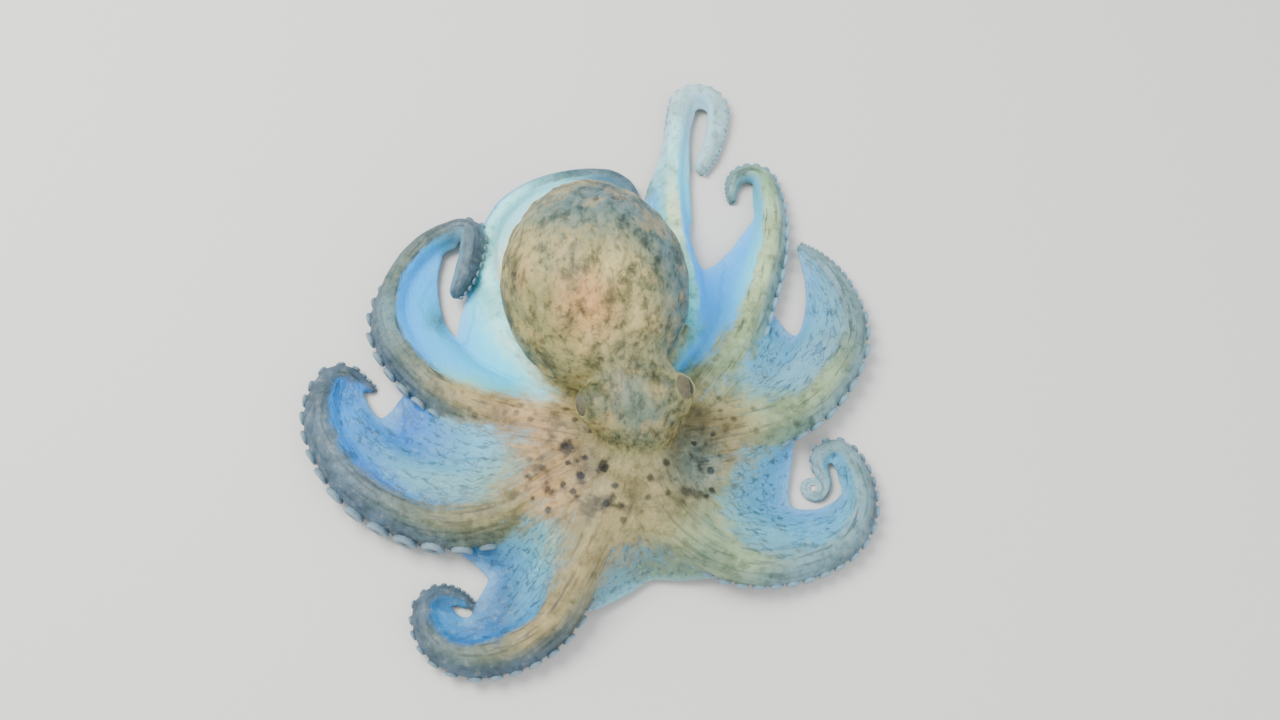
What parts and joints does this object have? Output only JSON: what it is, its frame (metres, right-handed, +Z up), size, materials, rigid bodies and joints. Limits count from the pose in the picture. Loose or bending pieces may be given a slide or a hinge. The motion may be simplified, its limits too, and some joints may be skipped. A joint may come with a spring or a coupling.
{
  "type": "common octopus, still model",
  "caption": "Life-size still model of a common octopus settling on the floor, arms curled outwards with the webs spread between them.",
  "frame": {"origin": "on the floor under the middle of the bounding box", "axes": "+Z up, +Y towards the rear of the mantle and -Y towards the front arms, so +X is on the animal's left"},
  "size_m": [0.3359, 0.393, 0.0999],
  "materials": {
    "skin": "mottled tan, olive and grey-blue skin, wet and finely grained",
    "web": "smooth pale blue web skin with darker blue flecks, wet",
    "eye": "glossy amber-brown eyeball with a dark level pupil"
  },
  "bodies": {
    "root": {"eye_left": "eye", "eye_right": "eye", "mantle": "skin", "head": "skin", "arm_crown": "skin", "funnel": "skin", "arm_R1_base": "skin", "arm_R1_middle": "skin", "arm_R1_outer": "skin", "arm_R1_tip": "skin", "arm_R2_base": "skin", "arm_R2_middle": "skin", "arm_R2_outer": "skin", "arm_R2_tip": "skin", "arm_R3_base": "skin", "arm_R3_middle": "skin", "arm_R3_outer": "skin", "arm_R3_tip": "skin", "arm_R4_base": "skin", "arm_R4_middle": "skin", "arm_R4_outer": "skin", "arm_R4_tip": "skin", "arm_L4_base": "skin", "arm_L4_middle": "skin", "arm_L4_outer": "skin", "arm_L4_tip": "skin", "arm_L3_base": "skin", "arm_L3_middle": "skin", "arm_L3_outer": "skin", "arm_L3_tip": "skin", "arm_L2_base": "skin", "arm_L2_middle": "skin", "arm_L2_outer": "skin", "arm_L2_tip": "skin", "arm_L1_base": "skin", "arm_L1_middle": "skin", "arm_L1_outer": "skin", "arm_L1_tip": "skin", "web_L1_R1": "web", "web_R1_R2": "web", "web_R2_R3": "web", "web_R3_R4": "web", "web_R4_L4": "web", "web_L4_L3": "web", "web_L3_L2": "web", "web_L2_L1": "web"}
  },
  "joints": []
}
